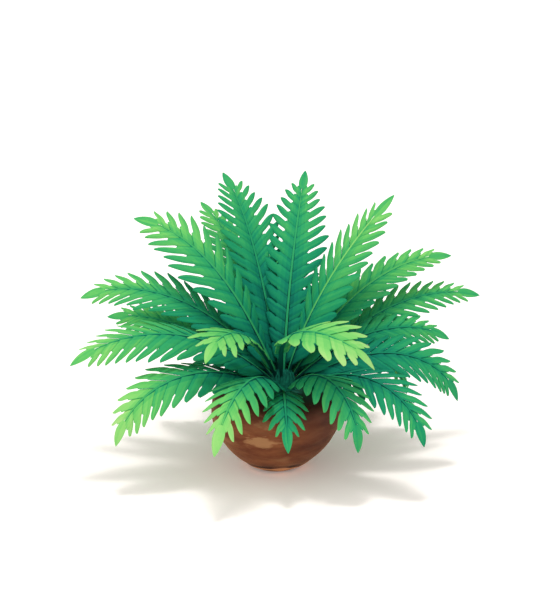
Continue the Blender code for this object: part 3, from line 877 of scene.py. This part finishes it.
def bark_values(tree):
    """The values that the colours, the gloss and the grain of the bark go by."""
    places = tree.nodes.new("ShaderNodeTexCoord").outputs["Object"]
    values = {}
    for name in ("relief", "edge"):
        attribute = tree.nodes.new("ShaderNodeAttribute")
        attribute.attribute_name = name
        values[name] = attribute.outputs["Fac"]
    split = tree.nodes.new("ShaderNodeSeparateXYZ")
    tree.links.new(places, split.inputs["Vector"])
    values["x"], values["z"] = split.outputs["X"], split.outputs["Z"]
    for name, stretch, size, detail, roughness in BARK_NOISES:
        values[name] = scaled_noise(tree, places, stretch, size, detail, roughness)["Fac"]
    ragged = shifted(tree, places, stretch=(1, 1, 3), size=RAG_SIZE, detail=3.0, most=RAGGEDNESS)
    for name, (middle, reach) in BARK_SPOTS.items():
        source = ragged if name in RAGGED_SPOTS else places
        values[name] = nearness(tree, source, middle, reach)
    return values


def bark_material():
    made, tree, shader = new_material("bark")
    values = bark_values(tree)
    streaked = spread(tree, values["streaks"], STREAK_SPAN, (0, 1))
    base = mixed(tree, streaked, *(colour(*tint) for tint in BARK_GROUND))
    for coat in BARK_COATS:
        share = spread(tree, values[coat.by], (coat.none, coat.full), (0, coat.most))
        base = mixed(tree, share, base, colour(*coat.tint))
    tree.links.new(base, shader.inputs["Base Color"])
    roughness = spread(tree, values["streaks"], NOISE_SPAN, (0.92, 0.7))
    tree.links.new(roughness, shader.inputs["Roughness"])
    set_values(shader, {
        "Specular IOR Level": 0.25, "Sheen Weight": 0.7, "Sheen Roughness": 0.25,
        "Sheen Tint": colour(*BARK_SHEEN),
    })
    add_bump(tree, shader, values["grain"], strength=0.5, distance=0.002)
    return made


def make_trunk():
    add_piece("trunk_bark", trunk_mesh(bark_material()), ["trunk"])


# Growing point

DOME_DEPTH = 0.012  # how far the dome lies under the solid's
DOME_RADIUS = CROWN_RADIUS - DOME_DEPTH
DOME_RINGS = 12
DOME_SIDES = 40
SCALES = 110
SCALES_DOWN = 0.8  # how far down the dome they go, of its height
SMALLEST_SCALE = 0.5  # at the top, of the others
SCALES_GROW = 2.5  # how soon they are full grown, going down
SCALE_LENGTH = 0.062
SCALE_HALF_WIDTH = 0.0100
SCALE_POINT = 0.0003  # half its width at the tip
SCALE_POWER = 1.8  # how late it narrows to that
SCALE_LIFT = 0.05  # how far it arches off the dome, of its length
SCALE_ARCH = 0.6  # and how much of an arch it makes
SCALE_EDGE_DROP = 0.0022  # how far its edges bend down
SCALE_STEPS = 5
SCALE_COLUMNS = (-1, -0.5, 0, 0.5, 1)
SPIRAL_TURN = math.radians(137.508)
BUD_COLOURS = ((9, 84, 70), (18, 112, 90))


def bud_material():
    made, tree, shader = new_material("bud_felt")
    places = tree.nodes.new("ShaderNodeTexCoord").outputs["Object"]
    mottle = scaled_noise(tree, places, stretch=(1, 1, 1), size=90.0, detail=3.0)["Fac"]
    mottled = spread(tree, mottle, (0.35, 0.65), (0, 1))
    base = mixed(tree, mottled, *(colour(*tint) for tint in BUD_COLOURS))
    tree.links.new(base, shader.inputs["Base Color"])
    tree.links.new(spread(tree, mottle, NOISE_SPAN, (0.95, 0.75)), shader.inputs["Roughness"])
    set_values(shader, {"Specular IOR Level": 0.12})
    felt = scaled_noise(tree, places, stretch=(1, 1, 1), size=300.0, detail=2.0)["Fac"]
    add_bump(tree, shader, felt, strength=0.6, distance=0.001)
    return made


def bud_scale_rows(n):
    """The points of one bud scale, in the spiral that cycads grow in."""
    height = 1 - (n + 0.5) / SCALES * SCALES_DOWN
    spin = n * SPIRAL_TURN
    ring = math.sqrt(1 - height * height)
    outward = Vector((ring * math.cos(spin), ring * math.sin(spin), height))
    across = Vector((-math.sin(spin), math.cos(spin), 0))
    upward = -across.cross(outward).normalized()
    size = blend(SMALLEST_SCALE, 1.0, smooth((1 - height) * SCALES_GROW))
    foot = CROWN_CENTRE + outward * DOME_RADIUS
    rows = []
    for i in range(SCALE_STEPS + 1):
        s = i / SCALE_STEPS
        half = SCALE_HALF_WIDTH * size * (1 - s**SCALE_POWER) + SCALE_POINT
        bend = outward * SCALE_LIFT * SCALE_LENGTH * size * math.sin(math.pi * s * SCALE_ARCH)
        middle = foot + upward * (SCALE_LENGTH * size * s) + bend
        rows.append([
            middle + across * half * v - outward * SCALE_EDGE_DROP * v * v for v in SCALE_COLUMNS
        ])
    return rows


def add_plain_grid(sheets, rows, leaf_columns, closed=False):
    """A grid of one colour, with leaf coordinates over its rows and over this many columns."""
    columns, steps = range(len(rows[0])), len(rows) - 1
    marks = [[(column / leaf_columns, i / steps) for column in columns] for i in range(steps + 1)]
    sheets.add_grid(rows, [[0] * len(columns)] * steps, marks, flip=True, closed=closed)


def dome_rows():
    """The points of the dome, from its top down."""
    turns = [2 * math.pi * k / DOME_SIDES for k in range(DOME_SIDES)]
    polars = [math.pi / 2 * i / DOME_RINGS for i in range(DOME_RINGS + 1)]
    return [
        [CROWN_CENTRE + DOME_RADIUS * Vector(on_ball(polar, turn)) for turn in turns]
        for polar in polars
    ]


def make_growing_point():
    """Overlapping, pointed bud scales, and the dome under them."""
    surface = bud_material()
    scales, dome = Sheets(), Sheets()
    for n in range(SCALES):
        add_plain_grid(scales, bud_scale_rows(n), leaf_columns=1)
    closed_scales = thickened("bud_scales", scales.mesh("bud_sheet", [surface]))
    add_piece("bud_scales", finish_mesh(closed_scales), ["growing_point"])
    add_plain_grid(dome, dome_rows(), leaf_columns=DOME_SIDES, closed=True)
    add_piece("bud_core", finish_mesh(dome.mesh("bud_core", [surface])), ["growing_point"])


# Stage, light and camera


def make_stage():
    made, _, shader = new_material("floor")
    set_values(shader, {
        "Base Color": FLOOR_COLOUR, "Roughness": 1.0, "Specular IOR Level": 0.0,
        "Emission Color": FLOOR_GLOW, "Emission Strength": FLOOR_GLOW_STRENGTH,
    })
    mesh = bpy.data.meshes.new("floor")
    corners = ((-1, -1), (1, -1), (1, 1), (-1, 1))
    mesh.from_pydata([(FLOOR_REACH * x, FLOOR_REACH * y, 0) for x, y in corners], [], [(0, 1, 2, 3)])
    mesh.materials.append(made)
    floor = bpy.data.objects.new("floor", mesh)
    bpy.context.scene.collection.objects.link(floor)
    floor.location.z = -FLOOR_DROP


def add_sun(name, sun):
    lamp = bpy.data.lights.new(name, "SUN")
    lamp.energy = sun.strength
    lamp.angle = math.radians(sun.softness)
    lamp.color = sun.tint
    made = bpy.data.objects.new(name, lamp)
    bpy.context.scene.collection.objects.link(made)
    made.rotation_euler = heading(sun.azimuth, sun.elevation).to_track_quat("Z", "Y").to_euler()


def make_light():
    world = bpy.data.worlds.new("studio")
    world.use_nodes = True
    set_values(world.node_tree.nodes["Background"], {"Color": SKY_COLOUR, "Strength": SKY_STRENGTH})
    bpy.context.scene.world = world
    for name, sun in SUNS.items():
        add_sun(name, sun)
    bpy.context.scene.view_settings.view_transform = "Standard"


def make_camera():
    elevation = math.radians(CAMERA_ELEVATION)
    forward = Vector((0.0, math.cos(elevation), -math.sin(elevation)))
    data = bpy.data.cameras.new("camera")
    data.sensor_width = SENSOR
    data.lens = SENSOR * CAMERA_DISTANCE / (METRES_PER_PIXEL * PHOTO_LONG_SIDE)
    data.clip_end = CAMERA_SIGHT
    camera = bpy.data.objects.new("camera", data)
    bpy.context.scene.collection.objects.link(camera)
    camera.location = CAMERA_TARGET - forward * CAMERA_DISTANCE
    camera.rotation_euler = (math.pi / 2 - elevation, 0.0, 0.0)
    bpy.context.scene.camera = camera


make_camera()
make_trunk()
make_growing_point()
make_fronds()
make_stage()
make_light()
